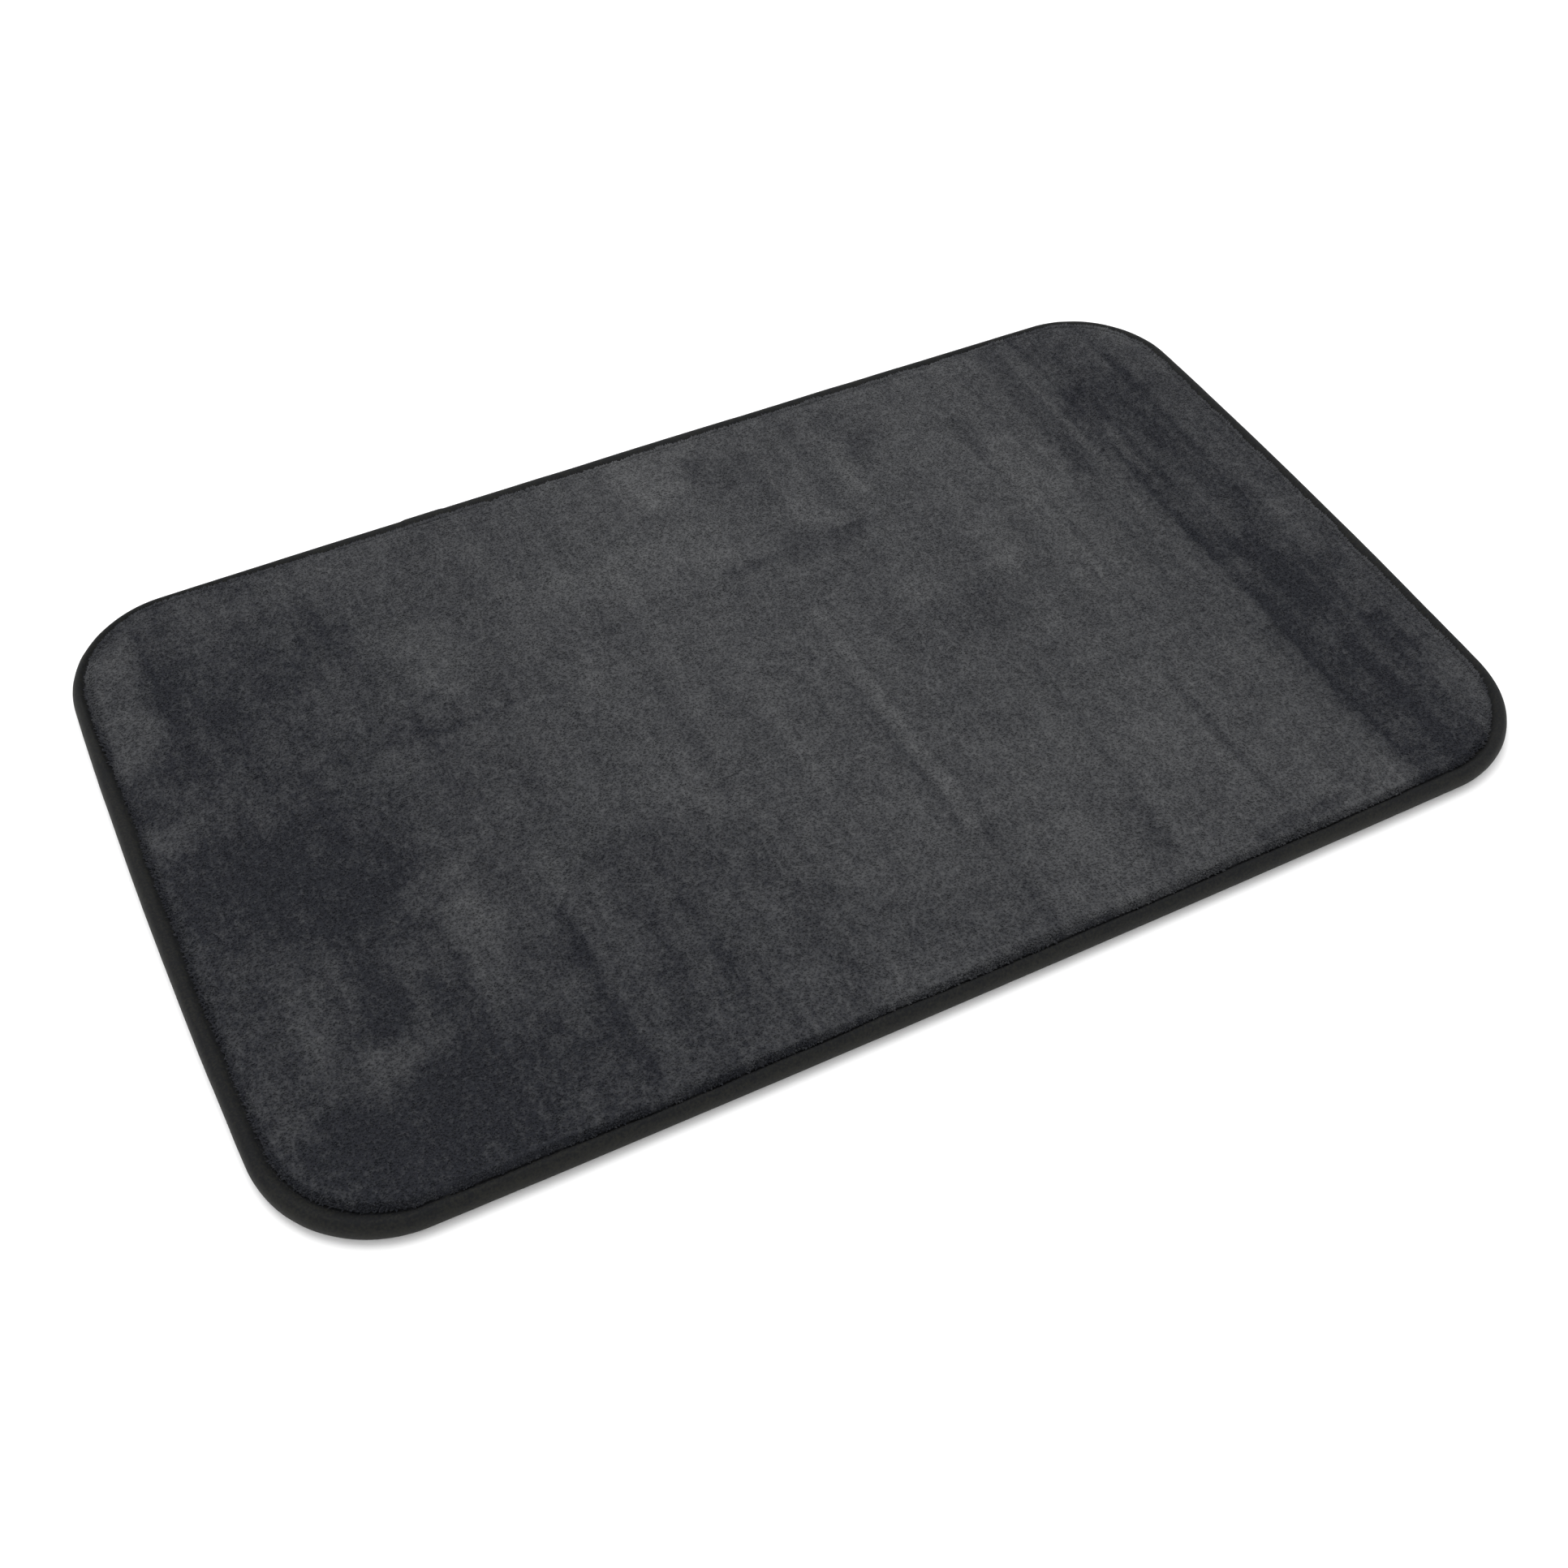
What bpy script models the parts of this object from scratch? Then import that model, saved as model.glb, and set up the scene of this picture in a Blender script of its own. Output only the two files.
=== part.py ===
"""A bath mat: a plush cover, a foam core and a non-slip backing, bound round the edge with folded tape.

The mat lies on the floor with its underside at z = 0, its long sides along X and its pile facing +Z.
Lengths are in metres. An inset is a distance inwards from the mat's outermost outline.
"""

import math

import bmesh
import bpy

# The outline: four shallow arcs for the sides and four corner arcs tangent to them.
LENGTH = 0.800
WIDTH = 0.4935
CORNER_RADIUS = 0.073
LONG_SIDE_RADIUS = 31.0
SHORT_SIDE_RADIUS = 5.5
CORNER_STEPS = 8
LONG_SIDE_STEPS = 6
SHORT_SIDE_STEPS = 4

# The layers, from the floor up.
THICKNESS = 0.019
CLEARANCE = 0.0003
GRIP_HEIGHT = 0.0008
BACKING_CLOTH = 0.0008
TAPE = 0.0008
BINDING_TOP = 0.0158
HEM_THICKNESS = 0.0014

# The edge, as insets from the outline.
SEAM_INSET = 0.0088
UNDERSIDE_SEAM_INSET = 0.0120
CLOTH_EDGE_INSET = 0.0058
FOAM_EDGE_INSET = 0.0020
STITCH_INSET = 0.0076
SIDE_ROUND = 0.0064
SIDE_STEPS = 5
FOAM_ROUND = 0.0030
PILE_ROUND = 0.0040

NEEDLE_THREAD_RADIUS = 0.00025
BOBBIN_THREAD_RADIUS = 0.0002
THREAD_BEVEL_RESOLUTION = 1

# Heights that follow from the ones above.
BINDING_BOTTOM = GRIP_HEIGHT
BACKING_RIM_BOTTOM = BINDING_BOTTOM + TAPE + CLEARANCE
BACKING_TOP = BACKING_RIM_BOTTOM + BACKING_CLOTH
FOAM_BOTTOM = BACKING_TOP + CLEARANCE
HEM_TOP = BINDING_TOP - TAPE - CLEARANCE
HEM_BOTTOM = HEM_TOP - HEM_THICKNESS
FOAM_TOP = HEM_BOTTOM - CLEARANCE


def side_arc_centres():
    """How far each side's arc centre lies beyond the mat's own centre, for the long and the short sides."""
    return LONG_SIDE_RADIUS - WIDTH / 2, SHORT_SIDE_RADIUS - LENGTH / 2


def corner_centre():
    """Centre of the corner arc that touches the long and the short side's arcs from inside."""
    long_offset, short_offset = side_arc_centres()
    to_long = LONG_SIDE_RADIUS - CORNER_RADIUS
    to_short = SHORT_SIDE_RADIUS - CORNER_RADIUS
    apart = math.hypot(short_offset, long_offset)
    along = (to_long**2 - to_short**2 + apart**2) / (2 * apart)
    across = math.sqrt(to_long**2 - along**2)
    ux, uy = -short_offset / apart, long_offset / apart
    return along * ux + across * uy, along * uy - across * ux - long_offset


def arc(centre, radius, start, end, steps):
    """Points along an arc, without its last one, which starts the next arc."""
    angles = [start + (end - start) * i / steps for i in range(steps)]
    return [(centre[0] + radius * math.cos(a), centre[1] + radius * math.sin(a)) for a in angles]


def outline(inset):
    """The mat's outline moved inwards by the inset, anticlockwise from the middle of the +X side."""
    long_offset, short_offset = side_arc_centres()
    cx, cy = corner_centre()
    short_end = math.atan2(cy, cx + short_offset)
    long_end = math.atan2(cy + long_offset, cx)
    quarter = arc((-short_offset, 0.0), SHORT_SIDE_RADIUS - inset, 0.0, short_end, SHORT_SIDE_STEPS // 2)
    quarter += arc((cx, cy), CORNER_RADIUS - inset, short_end, long_end, CORNER_STEPS)
    quarter += arc((0.0, -long_offset), LONG_SIDE_RADIUS - inset, long_end, math.pi / 2, LONG_SIDE_STEPS // 2)
    quarter.append((0.0, WIDTH / 2 - inset))
    half = quarter + [(-x, y) for x, y in reversed(quarter[:-1])]
    return half + [(x, -y) for x, y in reversed(half[1:-1])]


def fabric_material(name, colour, roughness):
    material = bpy.data.materials.new(name)
    material.use_nodes = True
    shader = material.node_tree.nodes["Principled BSDF"]
    shader.inputs["Base Color"].default_value = (*colour, 1.0)
    shader.inputs["Roughness"].default_value = roughness
    shader.inputs["Metallic"].default_value = 0.0
    material.diffuse_color = (*colour, 1.0)
    return material


def lofted_solid(name, steps, collection):
    """Loft through the mat's outline at each (inset, height) step, from the underside up, closed at both ends.

    The sections are offsets of one outline, so their shapes differ, and point i of one stands beside point i
    of the next.
    """
    mesh = bmesh.new()
    rings = [[mesh.verts.new((x, y, height)) for x, y in outline(inset)] for inset, height in steps]
    for lower, upper in zip(rings, rings[1:]):
        for i in range(len(lower)):
            mesh.faces.new((lower[i - 1], lower[i], upper[i], upper[i - 1]))
    mesh.faces.new(reversed(rings[0]))
    mesh.faces.new(rings[-1])
    data = bpy.data.meshes.new(name)
    mesh.to_mesh(data)
    mesh.free()
    solid = bpy.data.objects.new(name, data)
    collection.objects.link(solid)
    return solid


def finish_mesh(solid, material):
    solid.data.materials.append(material)
    solid.data.shade_smooth()
    solid.data.set_sharp_from_angle(angle=math.radians(40))


def make_nonslip_backing(parts, material):
    """Backing cloth with its grip dots as one envelope: flat on the floor, its rim raised over the folded tape."""
    middle_inset = UNDERSIDE_SEAM_INSET + CLEARANCE
    steps = [
        (middle_inset, 0.0),
        (middle_inset, BACKING_RIM_BOTTOM),
        (CLOTH_EDGE_INSET, BACKING_RIM_BOTTOM),
        (CLOTH_EDGE_INSET, BACKING_TOP),
    ]
    finish_mesh(lofted_solid("nonslip_backing", steps, parts), material)


def make_foam_core(parts, material):
    """Foam slab with its upper and lower edges rounded."""
    steps = [
        (FOAM_EDGE_INSET + FOAM_ROUND, FOAM_BOTTOM),
        (FOAM_EDGE_INSET, FOAM_BOTTOM + FOAM_ROUND),
        (FOAM_EDGE_INSET, FOAM_TOP - FOAM_ROUND),
        (FOAM_EDGE_INSET + FOAM_ROUND, FOAM_TOP),
    ]
    finish_mesh(lofted_solid("foam_core", steps, parts), material)


def make_pile_cover(parts, material):
    """Plush cover: a thin hem held under the tape, and the pile standing up inside the seam with a rounded rim."""
    pile_inset = SEAM_INSET + CLEARANCE
    steps = [
        (CLOTH_EDGE_INSET, HEM_BOTTOM),
        (CLOTH_EDGE_INSET, HEM_TOP),
        (pile_inset, HEM_TOP),
        (pile_inset, THICKNESS - PILE_ROUND),
        (pile_inset + PILE_ROUND / 4, THICKNESS - PILE_ROUND / 3),
        (pile_inset + PILE_ROUND, THICKNESS),
    ]
    finish_mesh(lofted_solid("pile_cover", steps, parts), material)


def make_edge_binding(parts, cutters, material):
    """Tape folded round the edge: a rounded rim with the layers' room and both mouths cut out of it."""
    middle = (BINDING_BOTTOM + BINDING_TOP) / 2
    half_height = (BINDING_TOP - BINDING_BOTTOM) / 2
    turns = [math.pi * i / (2 * SIDE_STEPS) for i in range(-SIDE_STEPS, SIDE_STEPS + 1)]
    side = [(SIDE_ROUND * (1 - math.cos(a)), middle + half_height * math.sin(a)) for a in turns]
    past_seam = UNDERSIDE_SEAM_INSET + SIDE_ROUND
    steps = [(past_seam, BINDING_BOTTOM), *side, (past_seam, BINDING_TOP)]
    binding = lofted_solid("edge_binding", steps, parts)

    inner_height = half_height - TAPE
    hollow_side = [
        (TAPE + (SIDE_ROUND - TAPE) * (1 - math.cos(a)), middle + inner_height * math.sin(a))
        for a in turns
    ]
    hollow_steps = [
        (UNDERSIDE_SEAM_INSET, -THICKNESS),
        (UNDERSIDE_SEAM_INSET, BINDING_BOTTOM + TAPE),
        *hollow_side,
        (SEAM_INSET, BINDING_TOP - TAPE),
        (SEAM_INSET, 2 * THICKNESS),
    ]
    hollow = lofted_solid("binding_hollow", hollow_steps, cutters)
    hollow.hide_render = True
    hollow.display_type = "WIRE"
    cut = binding.modifiers.new("hollow", "BOOLEAN")
    cut.operation = "DIFFERENCE"
    cut.object = hollow
    finish_mesh(binding, material)


def make_thread(name, radius, height, parts, material):
    """A row of lockstitch as one closed thread that runs all the way round."""
    curve = bpy.data.curves.new(name, "CURVE")
    curve.dimensions = "3D"
    curve.bevel_depth = radius
    curve.bevel_resolution = THREAD_BEVEL_RESOLUTION
    spline = curve.splines.new("POLY")
    points = outline(STITCH_INSET)
    spline.points.add(len(points) - 1)
    for point, (x, y) in zip(spline.points, points):
        point.co = (x, y, 0.0, 1.0)
    spline.use_cyclic_u = True
    curve.materials.append(material)
    thread = bpy.data.objects.new(name, curve)
    thread.location.z = height
    parts.objects.link(thread)


def main():
    for existing in list(bpy.data.objects):
        bpy.data.objects.remove(existing, do_unlink=True)
    parts = bpy.data.collections.new("bath_mat")
    cutters = bpy.data.collections.new("cutters")
    bpy.context.scene.collection.children.link(parts)
    bpy.context.scene.collection.children.link(cutters)

    plush = fabric_material("charcoal_plush", (0.045, 0.047, 0.053), 0.95)
    foam = fabric_material("memory_foam", (0.62, 0.60, 0.52), 0.90)
    backing = fabric_material("backing_cloth", (0.035, 0.036, 0.038), 0.80)
    tape = fabric_material("binding_tape", (0.018, 0.019, 0.019), 0.70)
    thread = fabric_material("sewing_thread", (0.012, 0.012, 0.013), 0.55)

    make_nonslip_backing(parts, backing)
    make_foam_core(parts, foam)
    make_pile_cover(parts, plush)
    make_edge_binding(parts, cutters, tape)
    above_tape = BINDING_TOP + CLEARANCE + NEEDLE_THREAD_RADIUS
    below_tape = BINDING_BOTTOM - CLEARANCE - BOBBIN_THREAD_RADIUS
    make_thread("needle_thread", NEEDLE_THREAD_RADIUS, above_tape, parts, thread)
    make_thread("bobbin_thread", BOBBIN_THREAD_RADIUS, below_tape, parts, thread)


main()
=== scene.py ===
"""A plush bath mat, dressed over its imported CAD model.

The mat lies on the floor, its long sides along X and its pile facing +Z. Lengths are in metres. An inset is
a distance inwards from the mat's outline, and a turn is a share of the way round it, anticlockwise from the
middle of the +X side. Every piece is a surface worked out with numpy from a few sizes of the mat.
"""

import math

import bpy
import numpy as np
from bpy.props import FloatProperty, FloatVectorProperty, PointerProperty
from mathutils import Matrix, Vector


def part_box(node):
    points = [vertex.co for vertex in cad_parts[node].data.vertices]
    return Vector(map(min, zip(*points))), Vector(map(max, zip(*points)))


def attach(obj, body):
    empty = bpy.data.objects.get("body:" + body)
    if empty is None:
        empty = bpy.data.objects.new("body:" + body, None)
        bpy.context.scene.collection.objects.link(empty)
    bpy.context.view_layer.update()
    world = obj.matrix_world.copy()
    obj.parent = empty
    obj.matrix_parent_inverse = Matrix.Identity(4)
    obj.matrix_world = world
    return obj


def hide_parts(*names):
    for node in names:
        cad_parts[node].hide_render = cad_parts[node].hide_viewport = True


bl_info = {
    "name": "Bath Mat",
    "version": (1, 0, 0),
    "blender": (4, 5, 0),
    "location": "3D View > Sidebar > Bath Mat",
    "description": "Sews a plush bath mat with a bound edge over its CAD model",
    "category": "Add Mesh",
}

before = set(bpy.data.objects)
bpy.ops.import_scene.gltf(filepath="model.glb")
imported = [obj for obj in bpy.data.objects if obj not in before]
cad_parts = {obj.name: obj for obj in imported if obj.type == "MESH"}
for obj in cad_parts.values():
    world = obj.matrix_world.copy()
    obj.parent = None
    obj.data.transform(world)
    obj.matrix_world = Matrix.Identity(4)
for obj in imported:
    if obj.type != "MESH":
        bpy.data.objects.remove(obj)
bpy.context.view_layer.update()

MM = 0.001


def side_lengths(node):
    """A CAD node's length and width."""
    low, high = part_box(node)
    return high.x - low.x, high.y - low.y


# Sizes read from the frame.
LENGTH, WIDTH = side_lengths("edge_binding")
BINDING_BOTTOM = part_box("edge_binding")[0].z
BINDING_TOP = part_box("edge_binding")[1].z
PILE_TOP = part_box("pile_cover")[1].z
FOAM_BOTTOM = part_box("foam_core")[0].z
FOAM_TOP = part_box("foam_core")[1].z
BACKING_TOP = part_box("nonslip_backing")[1].z
STITCH_INSET = (LENGTH - side_lengths("needle_thread")[0]) / 2
CLOTH_EDGE_INSET = (LENGTH - side_lengths("pile_cover")[0]) / 2
FOAM_EDGE_INSET = (LENGTH - side_lengths("foam_core")[0]) / 2

# The outline's arcs, as in the CAD model.
CORNER_RADIUS = 73 * MM
LONG_SIDE_RADIUS = 31.0
SHORT_SIDE_RADIUS = 5.5

# The edge, as insets from the outline.
SEAM_INSET = 8.8 * MM
UNDERSIDE_SEAM_INSET = 12.0 * MM

# The tape's thickness, how far the seam pulls it down, and its outer face as insets and heights in
# millimetres: from the seam on top, over the padded side, to the seam underneath.
TAPE_THICKNESS = 0.75 * MM
SEAM_DEPTH = 2.35 * MM
TAPE_SECTION = (
    (9.2, 13.5), (8.6, 13.55), (7.9, 13.2), (6.9, 14.15), (5.1, 15.5), (2.7, 14.75), (0.75, 12.2),
    (-0.1, 8.7), (0.45, 4.8), (2.4, 1.95), (5.2, 0.9), (8.5, 0.8), (12.0, 0.8),
)

# Where one end of the tape lies over the other, in turns.
LAP_START = 0.305
LAP_END = 0.317
LAP_STEP = 0.0008


# --- Shapes ---


def ease(x):
    """Smooth step: 0 below 0, 1 above 1, and 3x² − 2x³ between."""
    x = np.clip(x, 0.0, 1.0)
    return x * x * (3.0 - 2.0 * x)


def bell(x, spread):
    """exp(−(x / spread)²): 1 at 0, and nearly 0 past twice the spread."""
    return np.exp(-((x / spread) ** 2))


def lattice_noise(x, y, cell_x, cell_y, seed):
    """Smooth noise from −1 to 1: a random value at each corner of a lattice, eased between the corners.

    The lattice covers the mat with a few cells to spare, so a place has the same value for every piece.
    """
    columns = int(LENGTH / cell_x) + 6
    rows = int(WIDTH / cell_y) + 6
    u = np.asarray(x) / cell_x + columns / 2
    v = np.asarray(y) / cell_y + rows / 2
    column = np.clip(np.floor(u).astype(int), 0, columns - 2)
    row = np.clip(np.floor(v).astype(int), 0, rows - 2)
    across = ease(u - column)
    along = ease(v - row)
    corner = np.random.default_rng(seed).uniform(-1.0, 1.0, (rows, columns))
    lower = corner[row, column] * (1 - across) + corner[row, column + 1] * across
    upper = corner[row + 1, column] * (1 - across) + corner[row + 1, column + 1] * across
    return lower * (1 - along) + upper * along


def layered_noise(x, y, layers):
    """A sum of lattice noises. A layer is its strength, its cell's two sides in millimetres and its seed."""
    return sum(
        strength * lattice_noise(x, y, side_x * MM, side_y * MM, seed)
        for strength, side_x, side_y, seed in layers
    )


def ring_noise(turn, waves, seed):
    """Smooth noise from −1 to 1 that closes on itself after one turn: random values eased between waves."""
    place = np.mod(turn, 1.0) * waves
    before = np.floor(place).astype(int)
    share = ease(place - before)
    values = np.random.default_rng(seed).uniform(-1.0, 1.0, waves)
    return values[before % waves] * (1 - share) + values[(before + 1) % waves] * share


class MatOutline:
    """The mat's outline: four shallow side arcs joined by four corner arcs that touch them."""

    def __init__(self, length, width):
        self.long_offset = LONG_SIDE_RADIUS - width / 2
        self.short_offset = SHORT_SIDE_RADIUS - length / 2
        to_long = LONG_SIDE_RADIUS - CORNER_RADIUS
        to_short = SHORT_SIDE_RADIUS - CORNER_RADIUS
        apart = math.hypot(self.short_offset, self.long_offset)
        along = (to_long**2 - to_short**2 + apart**2) / (2 * apart)
        across = math.sqrt(to_long**2 - along**2)
        unit_x, unit_y = -self.short_offset / apart, self.long_offset / apart
        self.corner_x = along * unit_x + across * unit_y
        self.corner_y = along * unit_y - across * unit_x - self.long_offset
        self.short_end = math.atan2(self.corner_y, self.corner_x + self.short_offset)
        self.long_end = math.atan2(self.corner_y + self.long_offset, self.corner_x)
        short_run = SHORT_SIDE_RADIUS * self.short_end
        corner_run = CORNER_RADIUS * (self.long_end - self.short_end)
        long_run = LONG_SIDE_RADIUS * (math.pi / 2 - self.long_end)
        self.perimeter = 4 * (short_run + corner_run + long_run)
        self.corner_turn = (short_run + corner_run / 2) / self.perimeter
        # The first quarter's arcs: distance to the start, angle there, radius, and centre.
        self.arcs = np.array([
            (0.0, 0.0, SHORT_SIDE_RADIUS, -self.short_offset, 0.0),
            (short_run, self.short_end, CORNER_RADIUS, self.corner_x, self.corner_y),
            (short_run + corner_run, self.long_end, LONG_SIDE_RADIUS, 0.0, -self.long_offset),
        ])

    def at(self, turn):
        """Points of the outline and its outward normals: centre + radius × (cos angle, sin angle).

        The angle grows by distance / radius along each arc, and the first quarter is mirrored for the others.
        """
        quarters = np.mod(turn, 1.0) * 4
        quarter = np.minimum(np.floor(quarters), 3).astype(int)
        part = quarters - quarter
        run = np.where(quarter % 2 == 0, part, 1 - part) * self.perimeter / 4
        arc = self.arcs[np.searchsorted(self.arcs[:, 0], run, side="right") - 1]
        start, first_angle, radius = arc[..., 0], arc[..., 1], arc[..., 2]
        angle = first_angle + (run - start) / radius
        normal = np.stack([np.cos(angle), np.sin(angle)], axis=-1)
        point = arc[..., 3:] + radius[..., None] * normal
        signs = np.array([(1.0, 1.0), (-1.0, 1.0), (-1.0, -1.0), (1.0, -1.0)])[quarter]
        return point * signs, normal * signs

    def inset(self, x, y):
        """How far points lie inside the outline: from the nearest side's arc, or from the corner's arc."""
        x, y = np.abs(x), np.abs(y)
        from_short = SHORT_SIDE_RADIUS - np.hypot(x + self.short_offset, y)
        from_long = LONG_SIDE_RADIUS - np.hypot(x, y + self.long_offset)
        past_x, past_y = x - self.corner_x, y - self.corner_y
        bearing = np.arctan2(past_y, past_x)
        at_corner = (bearing > self.short_end) & (bearing < self.long_end)
        from_corner = CORNER_RADIUS - np.hypot(past_x, past_y)
        return np.where(at_corner, from_corner, np.minimum(from_short, from_long))

    def area(self, inset):
        """Area inside the outline moved inwards, from the cross products of its points."""
        point, normal = self.at(np.linspace(0.0, 1.0, 2000, endpoint=False))
        x, y = (point - inset * normal).T
        return float(0.5 * np.sum(x * np.roll(y, -1) - y * np.roll(x, -1)))


OUTLINE = MatOutline(LENGTH, WIDTH)
CLOTH_AREA = OUTLINE.area(CLOTH_EDGE_INSET)


def seam_inset(x, y):
    """Inset of the seam between tape and pile: narrow along the front, and wider along the other sides."""
    left = ease((-x - 300 * MM) / (70 * MM)) * ease((170 * MM - y) / (90 * MM))
    right = ease((x - 320 * MM) / (60 * MM)) * (0.85 + 0.15 * ease((-y - 20 * MM) / (130 * MM)))
    back = ease((y - 150 * MM) / (70 * MM)) * ease((330 * MM - np.abs(x)) / (180 * MM))
    front = ease((-y - 170 * MM) / (60 * MM)) * ease((360 * MM - np.abs(x)) / (120 * MM))
    wander = layered_noise(x, y, ((0.50, 42, 42, 11), (0.35, 13, 13, 12)))
    return SEAM_INSET + MM * (-0.2 + 3.0 * left + 2.3 * right + 2.4 * back - 1.3 * front + wander)


def smooth_profile(corners, count):
    """Points evenly spaced along a Catmull-Rom curve through the corners, and the curve's left normals."""
    corners = np.array(corners, float)
    padded = np.vstack([2 * corners[0] - corners[1], corners, 2 * corners[-1] - corners[-2]])
    t = np.linspace(0.0, len(corners) - 1, 40 * len(corners))
    i = np.minimum(t.astype(int), len(corners) - 2)
    f = (t - i)[:, None]
    a, b, c, d = padded[i], padded[i + 1], padded[i + 2], padded[i + 3]
    curve = 0.5 * (2 * b + (c - a) * f + (2 * a - 5 * b + 4 * c - d) * f**2 + (3 * b - a - 3 * c + d) * f**3)
    run = np.r_[0.0, np.cumsum(np.hypot(*np.diff(curve, axis=0).T))]
    places = np.linspace(0.0, run[-1], count)
    points = np.stack([np.interp(places, run, curve[:, k]) for k in range(2)], axis=-1)
    tangent = np.gradient(points, axis=0)
    tangent /= np.linalg.norm(tangent, axis=1)[:, None]
    return points, np.stack([-tangent[:, 1], tangent[:, 0]], axis=-1)


def grid_quads(rows, columns, wrap_rows=False, wrap_columns=False):
    """Quads between the points of a grid, numbered row by row. They face along (next column) × (next row)."""
    index = np.arange(rows * columns).reshape(rows, columns)
    if wrap_rows:
        index = np.vstack([index, index[:1]])
    if wrap_columns:
        index = np.hstack([index, index[:, :1]])
    corners = (index[:-1, :-1], index[:-1, 1:], index[1:, 1:], index[1:, :-1])
    return np.stack(corners, axis=-1).reshape(-1, 4)


def patch_inside(ring, columns, rows):
    """Coons patch: a grid whose four sides are stretches of a closed ring, blended across its middle."""
    front = ring[: columns + 1]
    right = ring[columns : columns + rows + 1]
    back = ring[columns + rows : 2 * columns + rows + 1][::-1]
    left = np.vstack([ring[2 * columns + rows :], ring[:1]])[::-1]
    u = np.linspace(0.0, 1.0, columns + 1)[None, :, None]
    v = np.linspace(0.0, 1.0, rows + 1)[:, None, None]
    between_long = (1 - v) * front[None] + v * back[None]
    between_short = (1 - u) * left[:, None] + u * right[:, None]
    corners = (1 - v) * ((1 - u) * front[0] + u * front[-1]) + v * ((1 - u) * back[0] + u * back[-1])
    return between_long + between_short - corners


def level_step(inset, height):
    """A step of a sheet's edge that keeps one inset and one height all the way round."""
    return lambda x, y: (inset, height)


def quilted_sheet(columns, rows, edge_steps, height):
    """A closed sheet over the mat's outline: a flat cap, rings that follow edge_steps, and a patch inside.

    edge_steps is a list of functions that take the outline's points and give an inset and a height. The
    patch's heights are height(x, y). The faces point outwards where the patch is the upper side.
    """
    corner = OUTLINE.corner_turn
    along = np.linspace(0.0, 1.0, columns, endpoint=False)
    across = np.linspace(0.0, 1.0, rows, endpoint=False)
    turn = np.concatenate([
        0.5 + corner + (0.5 - 2 * corner) * along,
        1.0 - corner + 2 * corner * across,
        1.0 + corner + (0.5 - 2 * corner) * along,
        1.5 - corner + 2 * corner * across,
    ])
    point, normal = OUTLINE.at(turn)
    round_count = len(turn)
    rings = []
    for step in edge_steps:
        inset, z = (np.broadcast_to(part, round_count) for part in step(point[:, 0], point[:, 1]))
        rings.append(np.column_stack([point - inset[:, None] * normal, z]))
    patch = patch_inside(rings[-1][:, :2], columns, rows)
    patch = np.dstack([patch, height(patch[..., 0], patch[..., 1])]).reshape(-1, 3)
    band = grid_quads(len(rings), round_count, wrap_columns=True)
    grid = np.arange((rows + 1) * (columns + 1)).reshape(rows + 1, columns + 1)
    border = np.concatenate([grid[0, :-1], grid[:-1, -1], grid[-1, :0:-1], grid[:0:-1, 0]])
    start = (len(rings) - 1) * round_count
    band = np.where(band >= start, start + border[(band - start) % round_count], band)
    points = np.vstack(rings[:-1] + [patch])
    patch_faces = grid_quads(rows + 1, columns + 1) + start
    cap = list(range(round_count))[::-1]
    return points, [cap] + band.tolist() + patch_faces.tolist()


def flipped(faces):
    """The same faces seen from their other side."""
    return [face[::-1] for face in faces]


def closed_tube(rings, sides):
    """Faces of one tube of rings with a flat end at each of its ends."""
    last = (rings - 1) * sides
    ends = [list(range(sides))[::-1], list(range(last, last + sides))]
    return grid_quads(rings, sides, wrap_columns=True).tolist() + ends


def repeated(faces, count, point_count):
    """The faces of count copies of a shape that has point_count points, from the faces of one."""
    first = np.arange(count)[:, None] * point_count
    copies = []
    for face in faces:
        copies += (first + np.array(face)).tolist()
    return copies


def tapered_tufts(roots, leans, lengths, widths, spins, sides, waist=None):
    """Closed tapering tufts: each is a ring of points at its root, perhaps one at its waist, and a tip.

    The axis rises from the root by length × cos(lean) and drifts by length × sin(lean), more towards the
    tip. roots is (n, 3) and leans is (n, 2), a direction whose length is the lean's sine.
    """
    rise = np.sqrt(np.clip(1 - np.sum(leans**2, axis=1), 0.02, 1.0))
    angles = spins[:, None] + np.arange(sides)[None] * (2 * math.pi / sides)
    circle = np.stack([np.cos(angles), np.sin(angles), np.zeros_like(angles)], axis=-1)

    def axis(share):
        drift = leans * (lengths * share**1.5)[:, None]
        return (roots + np.column_stack([drift, rise * lengths * share]))[:, None]

    levels = [axis(0.0) + circle * (widths / 2)[:, None, None]]
    if waist:
        levels.append(axis(0.5) + circle * (waist * widths / 2)[:, None, None])
    levels.append(axis(1.0))
    points = np.concatenate(levels, axis=1)
    ring = np.arange(sides)
    after = (ring + 1) % sides
    faces = []
    for low in range(0, (len(levels) - 2) * sides, sides):
        high = low + sides
        faces += np.stack([low + ring, low + after, high + after, high + ring], axis=-1).tolist()
    last = (len(levels) - 2) * sides
    tip = last + sides
    faces += [[last + i, last + j, tip] for i, j in zip(ring.tolist(), after.tolist())]
    faces.append(ring[::-1].tolist())
    return points.reshape(-1, 3), repeated(faces, len(roots), points.shape[1])


# --- The pile's surface and its brushed marks ---

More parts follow.
